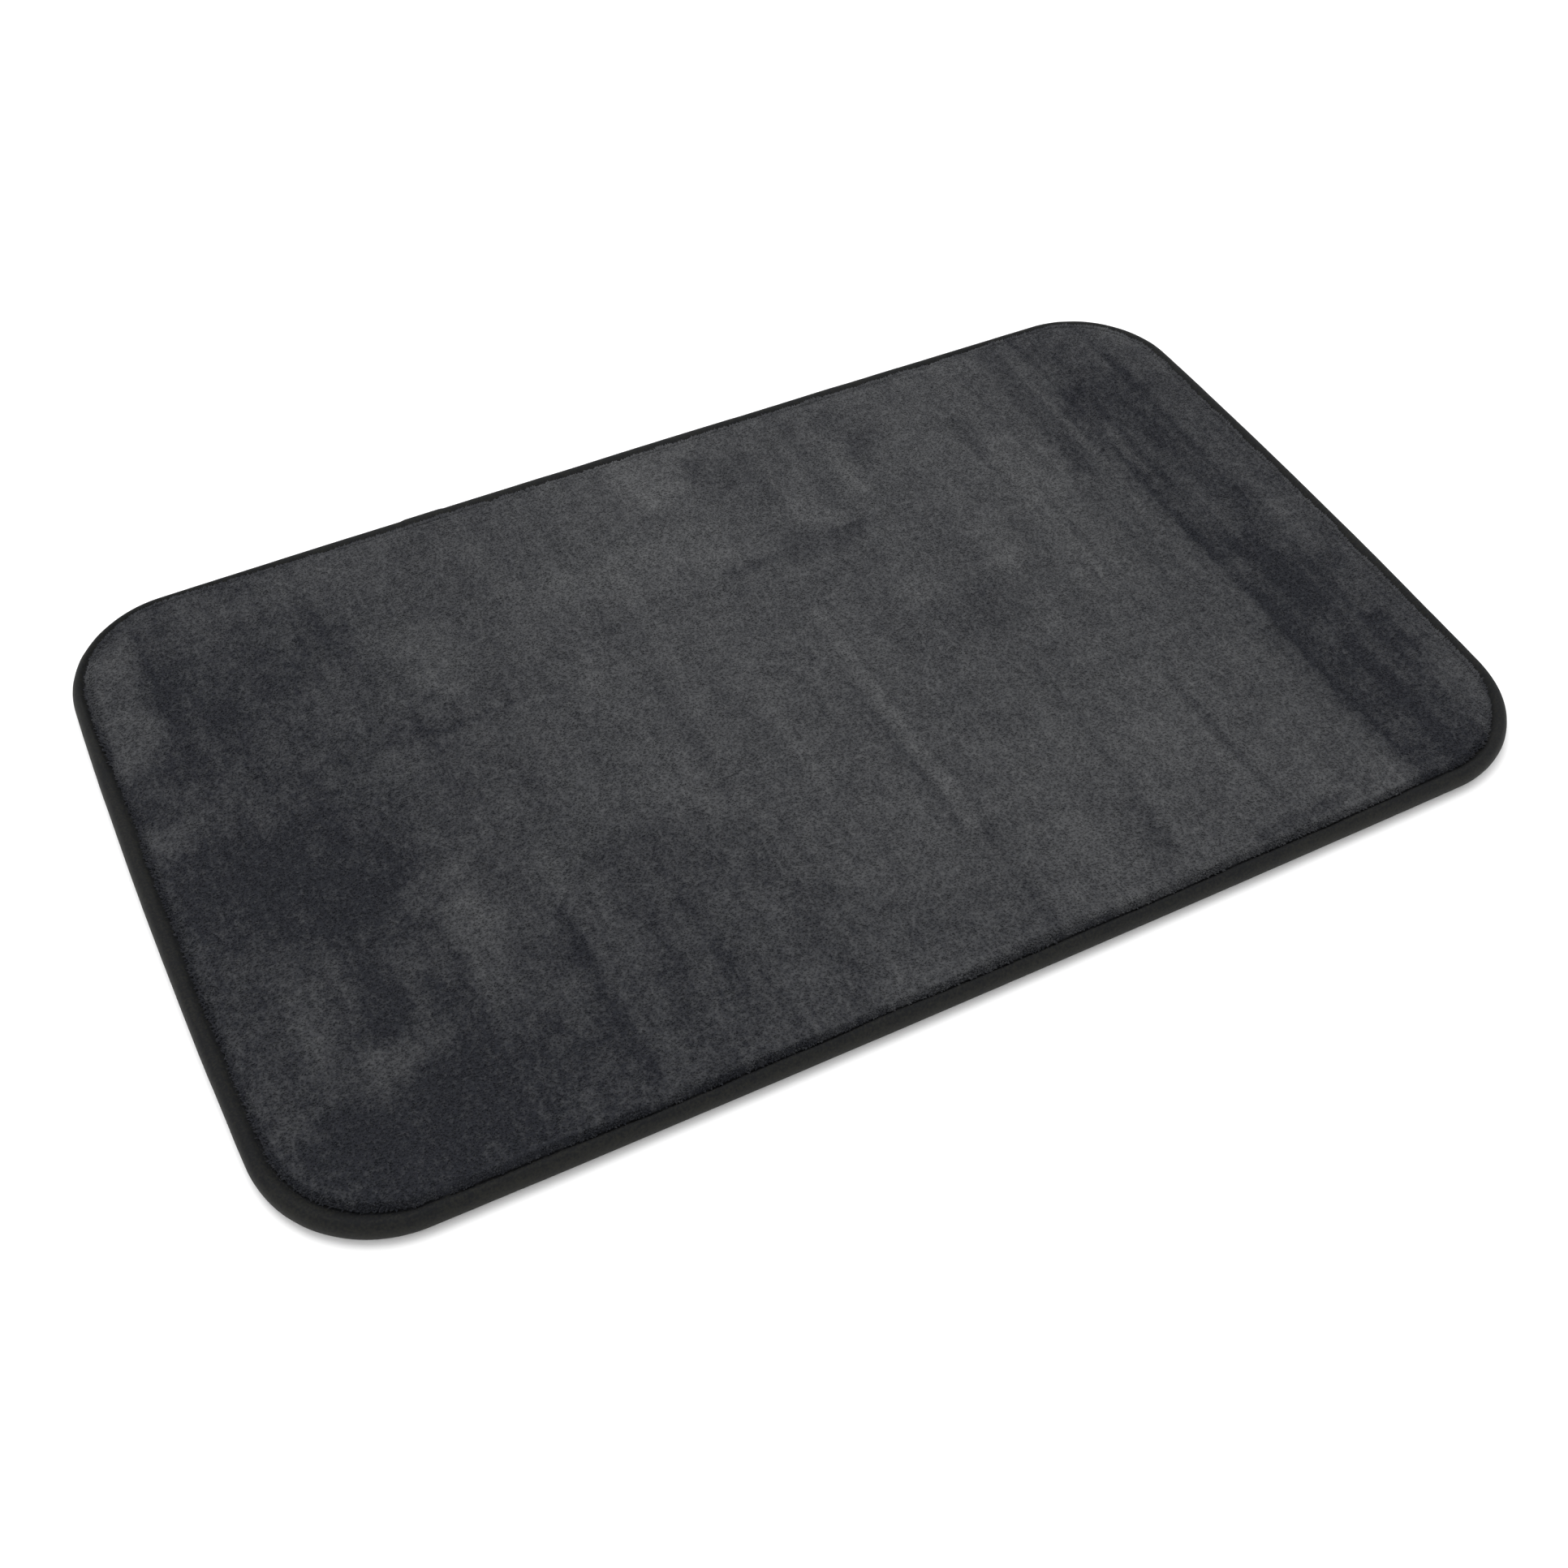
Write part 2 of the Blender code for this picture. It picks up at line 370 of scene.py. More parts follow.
# Marks of painted sheen brushed into the pile, in millimetres: from x, y to x, y, half-width, and change of
# tone.
CRISP_STROKES = (
    (316, -250, 316, 250, 19, -0.24),
    (345, -250, 345, 250, 10, -0.26),
    (331, -250, 331, -10, 6, -0.12),
    (293, 20, 291, 230, 5, -0.09),
    (329, -130, 329, -20, 28, -0.04),
    (371, -140, 371, 140, 14, -0.15),
    (358, -230, 358, -120, 8, -0.10),
    (389, -200, 389, 200, 3, 0.06),
    (299, -160, 299, 230, 3, -0.10),
    (290, -230, 290, -20, 5, -0.08),
    (345, -120, 345, 230, 2, 0.04),
    (352, -60, 352, 120, 2, -0.06),
    (273, 90, 273, 230, 9, -0.19),
    (286, 40, 286, 230, 3, 0.07),
    (257, 90, 257, 230, 4, 0.10),
    (245, 60, 245, 230, 2, -0.07),
    (42, 43, 42, -157, 5, 0.17),
    (32, -20, 32, -157, 3, -0.10),
    (47, -157, 45, -232, 5, -0.20),
    (-196, -100, -194, -232, 6, -0.12),
    (-188, -60, -188, -200, 4, 0.07),
    (-74, 37, -74, -63, 6, -0.09),
    (-58, -63, -58, -170, 7, -0.10),
    (-90, -20, -90, -160, 5, 0.06),
    (-127, -110, -127, -200, 5, -0.09),
    (212, -103, 212, -225, 3, -0.10),
    (203, -90, 203, -220, 4, 0.08),
    (213, 70, 213, -20, 3, 0.13),
    (223, 70, 223, -25, 3, 0.14),
    (234, 60, 234, -15, 3, 0.13),
    (218, 0, 218, -90, 2, -0.08),
    (217, 120, 217, 172, 7, -0.17),
    (160, 40, 160, 215, 8, -0.07),
    (140, -60, 140, -190, 4, -0.07),
    (20, 43, 22, -40, 3, -0.06),
    (-20, -30, -20, -190, 4, 0.05),
    (-300, 43, -153, 67, 3, -0.10),
    (-160, 80, -60, 92, 4, -0.08),
    (10, 96, 103, 107, 8, -0.16),
    (187, -232, 247, -228, 6, -0.20),
)
# Broader patches of painted sheen on the brushed pile, in the same columns.
SOFT_PATCHES = (
    (-372, 110, -372, 195, 15, 0.30),
    (-372, 30, -372, 45, 12, 0.15),
    (-193, 100, -193, 135, 18, 0.14),
    (-110, 140, 5, 125, 22, 0.12),
    (-5, 205, 5, 232, 26, 0.22),
    (120, 137, 122, 183, 6, 0.22),
    (87, 125, 87, 145, 10, 0.18),
    (190, 100, 190, 225, 36, 0.05),
    (235, 77, 235, 125, 11, 0.15),
    (-108, 50, -108, 56, 14, 0.12),
    (181, 45, 181, 58, 10, 0.16),
    (116, 25, 116, 38, 14, 0.10),
    (-343, -75, -343, -125, 17, 0.08),
    (-240, -60, -240, -100, 20, 0.16),
    (-295, -140, -295, -160, 12, 0.06),
    (-250, -150, -240, -165, 20, -0.07),
    (-40, -195, 20, -212, 24, -0.07),
    (-300, 214, -190, 222, 18, 0.08),
    (-330, -150, -310, -170, 9, 0.09),
    (75, -125, 125, -125, 26, 0.06),
    (170, -150, 170, -140, 17, 0.14),
    (90, -190, 90, -215, 22, 0.05),
    (376, 195, 368, 214, 8, 0.22),
    (315, 120, 325, 195, 16, -0.07),
    (330, -20, 330, -90, 18, -0.07),
    (325, -165, 330, -215, 20, -0.06),
    (308, -215, 308, 55, 12, -0.09),
    (371, -165, 374, -40, 13, -0.06),
    (300, 165, 300, -20, 14, -0.08),
    (346, 160, 346, 130, 14, -0.10),
    (-375, 215, -345, 222, 12, 0.08),
    (250, -30, 250, -75, 14, -0.06),
    (-60, -185, 0, -208, 26, -0.05),
    (-297, -95, -300, -135, 13, -0.12),
    (-365, -150, -330, -190, 14, -0.07),
    (-265, -110, -262, -150, 8, -0.10),
    (-318, -158, -296, -164, 6, 0.12),
    (-345, -110, -340, -120, 9, 0.09),
    (-232, -85, -228, -100, 10, 0.08),
    (-350, 150, -350, 165, 15, -0.16),
    (-240, 145, -240, 160, 20, -0.10),
    (-330, 115, -260, 165, 40, -0.07),
    (-350, -10, -300, -15, 42, -0.14),
    (-290, -50, -270, -55, 32, -0.11),
    (-370, -215, -230, -205, 40, -0.15),
    (-210, -130, -205, -135, 14, -0.12),
    (-135, -130, -125, -205, 66, -0.15),
    (-110, -110, -105, -118, 16, -0.08),
    (38, 180, 38, 210, 14, -0.17),
    (62, 150, 62, 195, 14, -0.08),
    (137, 165, 140, 205, 14, -0.12),
    (115, -2, 165, 2, 18, -0.12),
    (135, -190, 135, -205, 6, -0.20),
)


def stroke_weight(x, y, stroke, softness, widest):
    """1 along a stroke and 0 away from it. Its edge is eased over softness × half-width, or over widest if
    that is less.
    """
    start_x, start_y, end_x, end_y, half_width = (part * MM for part in stroke[:5])
    run_x, run_y = end_x - start_x, end_y - start_y
    share = ((x - start_x) * run_x + (y - start_y) * run_y) / (run_x**2 + run_y**2)
    share = np.clip(share, 0.0, 1.0)
    apart = np.hypot(x - start_x - share * run_x, y - start_y - share * run_y)
    return ease((half_width - apart) / min(softness * half_width, widest) + 0.5)


def painted_pile_shading(x, y):
    """How light the brushed pile looks, from 0 to 1, as painted sheen: darker to the left, then marks,
    streaks and blotches, the blotches partly random tone.

    The edges of the soft patches wander, and the rim of the pile is darkened by painted shade.
    """
    drift_x = MM * layered_noise(x, y, ((9, 20, 26, 198), (3, 7, 8, 27)))
    drift_y = MM * layered_noise(x, y, ((12, 24, 30, 164), (3, 8, 7, 28)))
    sway = MM * layered_noise(x, y, ((1.5, 60, 90, 29),))
    # How strongly each crisp mark of painted sheen shows varies from place to place.
    stroke_sheen_strength = 1.0 + layered_noise(x, y, ((0.40, 9, 60, 19), (0.25, 22, 28, 181)))
    tone = 0.48 - 0.30 * ease((-x - 40 * MM) / (320 * MM))
    for stroke in CRISP_STROKES:
        tone = tone + stroke[5] * stroke_sheen_strength * stroke_weight(x + sway, y + drift_y, stroke, 0.8, 8 * MM)
    for patch in SOFT_PATCHES:
        tone = tone + patch[5] * stroke_weight(x + drift_x, y + drift_y, patch, 1.3, 24 * MM)
    on_right = ease((x - 240 * MM) / (40 * MM))
    on_dark_ends = ease((-x - 80 * MM) / (160 * MM)) + ease((x - 280 * MM) / (30 * MM))
    tone = tone + layered_noise(x + sway, y, ((0.060, 4.5, 110, 384), (0.050, 14, 170, 141)))
    tone = tone + on_right * layered_noise(x + sway, y, ((0.090, 6, 80, 391),))
    tone = tone + on_dark_ends * layered_noise(x, y, ((0.065, 19, 22, 120),))
    tone = tone + layered_noise(x, y, ((0.035, 38, 46, 205), (0.055, 13, 9, 319), (0.090, 4, 5, 20)))
    # The rim of the pile, within 3.6 mm of the seam, is darkened by painted shade.
    past_seam = OUTLINE.inset(x, y) - seam_inset(x, y)
    return np.clip(tone - 0.22 * (1.0 - ease(past_seam / (3.6 * MM))), 0.0, 1.0)


def crown_height(past_seam):
    """The pile's crown: it rises steeply from the seam and flattens out exponentially."""
    return PILE_TOP - 0.9 * MM - 4.4 * MM * np.exp(-past_seam / (2.2 * MM))


def pile_height(x, y):
    """Height at the foot of the tufts: the crown, with hollows, folds and small clumps."""
    past_seam = np.maximum(OUTLINE.inset(x, y) - seam_inset(x, y), 0.0)
    uneven = MM * layered_noise(x, y, ((0.35, 110, 110, 31), (0.22, 24, 60, 32), (0.15, 6, 6, 33)))
    return crown_height(past_seam) + uneven * ease(past_seam / (6 * MM))


# --- Blender objects ---


def new_piece(name, points, faces, material):
    """A smooth mesh object at the origin, with its place in its mesh."""
    mesh = bpy.data.meshes.new(name)
    mesh.from_pydata(points.tolist(), [], faces)
    mesh.materials.append(material)
    mesh.shade_smooth()
    piece = bpy.data.objects.new(name, mesh)
    bpy.context.scene.collection.objects.link(piece)
    return piece


def add_map(piece, name, places):
    """Stores a UV map, from one pair of numbers for each of the mesh's points."""
    mesh = piece.data
    corner = np.empty(len(mesh.loops), int)
    mesh.loops.foreach_get("vertex_index", corner)
    layer = mesh.uv_layers.new(name=name, do_init=False)
    layer.data.foreach_set("uv", places[corner].astype(np.float32).ravel())


def pile_piece(name, points, faces, material):
    """A piece of pile: its points store their tone, which is painted sheen and shade, for the material, and
    its map is the view from above.
    """
    piece = new_piece(name, points, faces, material)
    tone = piece.data.attributes.new("pile_shading_tone", "FLOAT", "POINT")
    tone.data.foreach_set("value", painted_pile_shading(points[:, 0], points[:, 1]).astype(np.float32))
    low = points[:, :2].min(0)
    span = (points[:, :2].max(0) - low).max()
    add_map(piece, "OFBake", 0.01 + 0.98 * (points[:, :2] - low) / span)
    return piece


class Term:
    """A value in a material, for Python expressions. Each operator adds the Math node that it names."""

    def __init__(self, shader, socket):
        self.shader = shader
        self.socket = socket

    def math(self, operation, *terms):
        return self.shader.node("ShaderNodeMath", {"operation": operation}, dict(enumerate(terms)))

    def __add__(self, other):
        return self.math("ADD", self, other)

    def __sub__(self, other):
        return self.math("SUBTRACT", self, other)

    def __rsub__(self, other):
        return self.math("SUBTRACT", other, self)

    def __mul__(self, other):
        return self.math("MULTIPLY", self, other)

    def __truediv__(self, other):
        return self.math("DIVIDE", self, other)

    __radd__ = __add__
    __rmul__ = __mul__

    def wave(self, length, shift=0.0):
        """A sine that repeats after each length, moved on by shift in radians."""
        return self.math("SINE", self * (2 * math.pi / length) + shift)

    def clamped(self):
        return self.math("MINIMUM", self.math("MAXIMUM", self, 0.0), 1.0)


class Shader:
    """A material's nodes round one Principled surface, whose constant values are set on its own sockets."""

    def __init__(self, name, constants):
        self.material = bpy.data.materials.new(name)
        self.material.use_nodes = True
        self.tree = self.material.node_tree
        self.surface = self.tree.nodes["Principled BSDF"]
        for socket, value in constants.items():
            self.surface.inputs[socket].default_value = value
        self.place = self.node("ShaderNodeTexCoord", output="Object")

    def node(self, kind, settings=None, inputs=None, output=0):
        """Adds a node: its settings first, then the values or links of its sockets. Returns one output."""
        node = self.tree.nodes.new(kind)
        for name, value in (settings or {}).items():
            setattr(node, name, value)
        for socket, value in (inputs or {}).items():
            self.feed(node.inputs[socket], value)
        return Term(self, node.outputs[output])

    def feed(self, socket, value):
        if isinstance(value, Term):
            self.tree.links.new(value.socket, socket)
        else:
            socket.default_value = value

    def set(self, socket, value):
        """Links a varying value to the Principled surface."""
        self.feed(self.surface.inputs[socket], value)

    def noise(self, size, detail=2.0, flat=False):
        """Noise from 0 to 1 with features about size across. Flat noise is the same at any height."""
        settings = {"noise_dimensions": "2D" if flat else "3D"}
        inputs = {"Vector": self.place, "Scale": 1.0 / size, "Detail": detail}
        return self.node("ShaderNodeTexNoise", settings, inputs, "Fac")

    def colour(self, share, first, second):
        """Sets the base colour to a mix of two colours, by a share that is kept from 0 to 1."""
        inputs = {0: share.clamped(), 6: (*first, 1.0), 7: (*second, 1.0)}
        self.set("Base Color", self.node("ShaderNodeMix", {"data_type": "RGBA"}, inputs, 2))

    def cells(self, size):
        """Distance from the middle of the nearest of many round cells, in parts of their size."""
        inputs = {"Vector": self.place, "Scale": 1.0 / size}
        return self.node("ShaderNodeTexVoronoi", None, inputs, "Distance")

    def bump(self, height, distance, strength=1.0):
        inputs = {"Height": height, "Distance": distance, "Strength": strength}
        self.set("Normal", self.node("ShaderNodeBump", None, inputs, "Normal"))

    def split(self, vector):
        """A vector's three parts."""
        node = self.tree.nodes.new("ShaderNodeSeparateXYZ")
        self.feed(node.inputs[0], vector)
        return [Term(self, output) for output in node.outputs]


# --- Materials ---


def shaded(colour, share):
    """A colour made lighter or darker by one factor."""
    return [share * part for part in colour]


def plush_material(settings):
    """Brushed microfibre: stored painted sheen and shade set its tone, with small clumps and fine grain."""
    shader = Shader("charcoal plush", {
        "Roughness": 0.95,
        "Specular IOR Level": 0.10,
        "Sheen Weight": 0.08,
        "Sheen Roughness": 0.45,
        "Sheen Tint": (0.62, 0.65, 0.72, 1.0),
    })
    clumps = shader.noise(3.2 * MM, 1.0, flat=True)
    grain = shader.noise(1.1 * MM, 1.0, flat=True)
    pile_shading_tone = shader.node("ShaderNodeAttribute", {"attribute_name": "pile_shading_tone"}, output="Fac")
    tone = pile_shading_tone + (clumps - 0.5) * 0.50 + (grain - 0.5) * 0.40
    # Base colour from dark to light pile: stored painted sheen and shade, with random clumps and grain.
    shader.colour(tone, settings.pile_dark, settings.pile_light)
    return shader.material


def tape_material(settings):
    """Woven tape: crossed ribs in its own map, paler lower down its side, a little uneven in the dye.

    The groove along the seam is darkened by painted shade.
    """
    shader = Shader("binding tape", {
        "Specular IOR Level": 0.10,
        "Sheen Weight": 0.02,
        "Sheen Roughness": 0.5,
    })
    around, across, _ = shader.split(shader.node("ShaderNodeUVMap", {"uv_map": "tape"}))
    weave = around.wave(0.9 * MM) * across.wave(0.7 * MM)
    dye = shader.noise(26 * MM, 3.0)
    slub = shader.noise(3.0 * MM, 2.0)
    fleck = shader.noise(1.4 * MM, 1.0)
    height = shader.split(shader.place)[2]
    # Paler lower down the tape's side, from 0.6 mm to 4.6 mm under its top.
    lower_down = ((BINDING_TOP - 0.6 * MM - height) / (4.0 * MM)).clamped()
    # Painted shade in the groove by the seam, over the first 3.4 mm of the tape's width.
    groove_shade = (1.0 - across / (3.4 * MM)).clamped()
    tone = 0.30 + lower_down * 0.5 - groove_shade * 0.8 + weave * 0.15
    tone = tone + (dye - 0.5) * 0.9 + (slub - 0.5) * 1.3 + (fleck - 0.5) * 2.2
    shader.colour(tone, settings.tape_dark, settings.tape_light)
    shader.set("Roughness", 0.70 + (slub - 0.5) * 0.2)
    shader.bump(weave + slub * 1.5, 0.06 * MM, 0.6)
    return shader.material


def backing_material(settings):
    """Knitted backing cloth: fine columns of loops, with uneven dye."""
    shader = Shader("backing cloth", {"Sheen Weight": 0.08, "Roughness": 0.85})
    x, y, _ = shader.split(shader.place)
    columns = x.wave(1.3 * MM)
    loops = y.wave(1.0 * MM, columns * 0.9)
    dye = shader.noise(30 * MM, 3.0)
    tone = 0.5 + columns * 0.10 + loops * 0.14 + (dye - 0.5) * 0.5
    shader.colour(tone, shaded(settings.backing_colour, 0.55), settings.backing_colour)
    shader.bump(columns * loops, 0.12 * MM, 0.7)
    return shader.material


def rubber_material(settings):
    """Moulded rubber dots, dusted unevenly."""
    shader = Shader("grip rubber", {"Specular IOR Level": 0.4})
    dust = shader.noise(9 * MM, 4.0)
    shader.colour(dust, settings.dot_colour, [part + 0.01 for part in shaded(settings.dot_colour, 1.8)])
    shader.set("Roughness", 0.45 + dust * 0.25)
    shader.bump(shader.noise(0.5 * MM, 2.0), 0.03 * MM, 0.5)
    return shader.material


def thread_material(settings):
    """Polyester sewing thread: a fine twist across each stitch."""
    shader = Shader("sewing thread", {"Roughness": 0.6, "Specular IOR Level": 0.2, "Sheen Weight": 0.03})
    x, y, z = shader.split(shader.place)
    twist = (x + y + z).wave(0.28 * MM)
    shader.colour(0.5 + twist * 0.4, settings.thread_colour, shaded(settings.thread_colour, 1.9))
    shader.bump(twist, 0.03 * MM, 0.6)
    return shader.material


def foam_material(settings):
    """Open-cell foam: rounded pores of two sizes, with painted shade at the bottom of each."""
    shader = Shader("memory foam", {"Roughness": 0.95})
    # Painted shade: the foam's colour darkens towards the bottom of each pore.
    pores = shader.cells(1.6 * MM) * 0.7 + shader.cells(0.6 * MM) * 0.3
    shader.colour(pores, shaded(settings.foam_colour, 0.72), settings.foam_colour)
    shader.bump(pores, 0.35 * MM, 0.8)
    return shader.material


def floor_material(settings):
    """Smooth painted board, very slightly uneven."""
    shader = Shader("studio floor", {"Roughness": 0.85, "Specular IOR Level": 0.2})
    patches = shader.noise(1.5, 2.0)
    shader.colour(patches, shaded(settings.floor_colour, 0.97), settings.floor_colour)
    return shader.material


# --- Pieces ---


def make_plush_cover(material):
    """The cover's cloth and the foot of its pile: a thin hem under the tape, and a crown inside the seam.

    The steps run from the cloth's underside, round its hem and up the crown's side.
    """
    hem_top = BINDING_TOP - 3.2 * MM
    hem_bottom = hem_top - 0.9 * MM

    def at_seam(past, height):
        return lambda x, y: (seam_inset(x, y) + past, height)

    steps = [
        at_seam(4 * MM, FOAM_TOP + 0.2 * MM),
        at_seam(0.2 * MM, hem_bottom - 0.5 * MM),
        level_step(CLOTH_EDGE_INSET + 0.3 * MM, hem_bottom),
        level_step(CLOTH_EDGE_INSET, (hem_bottom + hem_top) / 2),
        level_step(CLOTH_EDGE_INSET + 0.3 * MM, hem_top),
        at_seam(-0.3 * MM, hem_top - 0.5 * MM),
        at_seam(0.15 * MM, hem_top - 0.3 * MM),
        at_seam(0.1 * MM, hem_top + 0.5 * MM),
    ]
    for past in (0.25, 0.6, 1.1, 1.8, 2.8, 4.2, 6.0):
        steps.append(at_seam(past * MM, crown_height(past * MM)))
    points, faces = quilted_sheet(330, 205, steps, pile_height)
    piece = pile_piece("plush_cover", points, faces, material)
    # The flat cap's part of the bake map moves clear of the part that shows.
    places = piece.data.uv_layers["OFBake"].data
    for corner in piece.data.polygons[0].loop_indices:
        places[corner].uv = 0.4 * places[corner].uv + Vector((0.01, 0.7))
    return piece


def make_field_tufts(settings, material):
    """Short pointed tufts on a jittered lattice over the whole field, in four pieces.

    They lean every way, a little more to the front, and are longer in small clumps.
    """
    random = np.random.default_rng(41)
    spacing = settings.tuft_spacing
    across = np.arange(-LENGTH / 2, LENGTH / 2, spacing)
    along = np.arange(-WIDTH / 2, WIDTH / 2, spacing)
    x, y = np.meshgrid(across, along)
    x = (x + random.uniform(-0.5, 0.5, x.shape) * spacing).ravel()
    y = (y + random.uniform(-0.5, 0.5, y.shape) * spacing).ravel()
    kept = OUTLINE.inset(x, y) > seam_inset(x, y) + 1.2 * MM
    x, y = x[kept], y[kept]
    bearing = -math.pi / 2 + 0.5 * lattice_noise(x, y, 16 * MM, 22 * MM, 42) + random.normal(0, 1.3, x.size)
    lean = np.clip(0.38 + 0.22 * random.normal(size=x.size), 0.02, 0.9)
    leans = np.stack([np.cos(bearing), np.sin(bearing)], axis=-1) * lean[:, None]
    clump = lattice_noise(x, y, 2.6 * MM, 2.6 * MM, 43)
    lengths = settings.tuft_length * (1 + 0.28 * clump + 0.15 * random.normal(size=x.size))
    lengths = np.clip(lengths, 0.4 * MM, None)
    widths = spacing * random.uniform(1.15, 1.6, x.size)
    spins = random.uniform(0, 2 * math.pi, x.size)
    roots = np.column_stack([x, y, pile_height(x, y) - 0.35 * MM])
    pieces = []
    for row, in_row in (("front", y < 0), ("back", y >= 0)):
        for column, in_column in (("left", x < 0), ("right", x >= 0)):
            here = in_row & in_column
            tufts = (values[here] for values in (roots, leans, lengths, widths, spins))
            points, faces = tapered_tufts(*tufts, sides=3)
            pieces.append(pile_piece(f"pile_tufts_{row}_{column}", points, faces, material))
    return pieces


def make_edge_tufts(settings, material):
    """Longer tufts along the pile's rim, which lean outwards over the seam and hide its groove unevenly."""
    random = np.random.default_rng(51)
    count = int(OUTLINE.perimeter / settings.tuft_spacing * settings.edge_tuft_rows)
    turn = random.uniform(0, 1, count)
    point, normal = OUTLINE.at(turn)
    past = random.uniform(0.3, 3.6, count) * MM
    inset = seam_inset(point[:, 0], point[:, 1]) + past
    place = point - inset[:, None] * normal
    z = crown_height(past) - 0.3 * MM
    outward = np.clip(0.93 - 0.16 * past / MM + 0.12 * random.normal(size=count), 0.1, 0.97)
    sideways = 0.25 * random.normal(size=count) + 0.25 * ring_noise(turn, 300, 52)
    tangent = np.stack([-normal[:, 1], normal[:, 0]], axis=-1)
    leans = normal * outward[:, None] + tangent * sideways[:, None]
    leans /= np.maximum(1.0, np.linalg.norm(leans, axis=1) / 0.97)[:, None]
    shaggy = 1 + 0.30 * ring_noise(turn, 85, 54) + 0.25 * ring_noise(turn, 420, 53)
    shaggy = shaggy + 0.20 * random.normal(size=count)
    lengths = settings.edge_tuft_length * np.clip(shaggy, 0.35, 1.8)
    widths = settings.tuft_spacing * random.uniform(0.9, 1.3, count)
    spins = random.uniform(0, 2 * math.pi, count)
    roots = np.column_stack([place, z])
    points, faces = tapered_tufts(roots, leans, lengths, widths, spins, sides=4, waist=0.8)
    return pile_piece("pile_edge_tufts", points, faces, material)


def make_bound_edge(settings, material):
    """Tape folded round the edge: a closed section carried round the outline. Also returns the tape's width.

    The section runs from the seam on top, over the padded side and under to the backing's seam, and back
    along the tape's inner face. Each point moves along the section's normal by ripples and puckers, and
    where one end of the tape laps the other.
    """
    around = 2 * stitch_count(settings)
    outer_count = 28
    outer, left = smooth_profile(np.array(TAPE_SECTION) * MM, outer_count)
    section = np.vstack([outer, (outer + TAPE_THICKNESS * left)[::-1]])
    push = -np.vstack([left, left[::-1]])
    share = np.r_[np.linspace(0, 1, outer_count), np.linspace(1, 0, outer_count)]
    turn = np.linspace(0.0, 1.0, around, endpoint=False)
    point, normal = OUTLINE.at(turn)
    widened = seam_inset(point[:, 0], point[:, 1]) - SEAM_INSET
    on_top = ease((section[:, 0] - 3 * MM) / (5.5 * MM)) * (share < 0.5)
    near_seam = ease((section[:, 0] - 4 * MM) / (3.5 * MM)) * (share < 0.5)
    above_floor = 1 - ease((share - 0.5) / 0.18)
    from_side = np.abs(np.mod(turn + 0.25, 0.5) - 0.25)
    corner_gather = bell(from_side - OUTLINE.corner_turn, 0.02)
    ripple = 0.1 + 0.28 * ring_noise(turn, 90, 61) + 0.25 * ring_noise(turn, 41, 62)
    ripple = ripple + (0.10 + 0.22 * corner_gather) * ring_noise(turn, 340, 63)
    pucker = np.where(np.arange(around) % 2 == 0, 0.10, -0.10)
    offset = MM * ripple[:, None] * (0.35 + 0.65 * near_seam) * above_floor
    offset = offset + MM * pucker[:, None] * near_seam
    offset = np.maximum(offset, -MM * (0.12 + 0.6 * (1 - near_seam)))
    lap = ease((turn - LAP_START) / LAP_STEP) * ease((LAP_END - turn) / LAP_STEP)
    offset = offset + 0.45 * MM * lap[:, None] * above_floor
    # The side is squeezed in a little at the two left corners.
    squeezed = 0.6 * bell(turn - 0.41, 0.025) + 0.4 * bell(turn - 0.60, 0.03)
    squeezed = MM * squeezed[:, None] * (1 - ease((section[:, 0] - 2 * MM) / (5 * MM)))
    inset = section[:, 0] + squeezed + widened[:, None] * on_top + offset * push[:, 0]
    inset = np.maximum(inset, -0.4 * MM)
    z = section[:, 1] + offset * push[:, 1]
    ground = point[:, None] - inset[..., None] * normal[:, None]
    points = np.dstack([ground, z]).reshape(-1, 3)
    faces = grid_quads(around, len(section), wrap_rows=True, wrap_columns=True).tolist()
    piece = new_piece("bound_edge_tape", points, faces, material)
    tape_width = float(np.sum(np.linalg.norm(np.diff(outer, axis=0), axis=1)))
    run, width = np.broadcast_arrays((turn * OUTLINE.perimeter)[:, None], share * tape_width)
    add_map(piece, "tape", np.stack([run, width], axis=-1).reshape(-1, 2))
    return piece, tape_width


def stitch_count(settings):
    return int(round(OUTLINE.perimeter / settings.stitch_pitch))


def make_stitches(name, settings, material, inset_of, height, radius, arch):
    """A row of lockstitches: short rods, each with its ends sunk into the cloth.

    A rod runs over 84 % of a stitch. Its middle line arches by arch × (sin(π × share)^0.6 − 1), and its
    radius is 0.55 + 0.45 × sin(π × share) of the thread's.
    """
    count = stitch_count(settings)
    rings, sides = 5, 6
    share = np.linspace(0.0, 1.0, rings)
    turn = (np.arange(count)[:, None] + 0.08 + 0.84 * share) / count
    point, normal = OUTLINE.at(turn)
    ground = point - inset_of(point[..., 0], point[..., 1])[..., None] * normal
    z = np.broadcast_to(height + arch * (np.sin(math.pi * share) ** 0.6 - 1.0), turn.shape)
    thick = radius * np.broadcast_to(0.55 + 0.45 * np.sin(math.pi * share), turn.shape)
    angle = np.arange(sides) * (2 * math.pi / sides)
    out = thick[..., None] * np.cos(angle)
    up = thick[..., None] * np.sin(angle)
    ring_xy = ground[..., None, :] + out[..., None] * normal[..., None, :]
    points = np.concatenate([ring_xy, (z[..., None] + up)[..., None]], axis=-1).reshape(-1, 3)
    faces = repeated(closed_tube(rings, sides), count, rings * sides)
    return new_piece(name, points, flipped(faces), material)


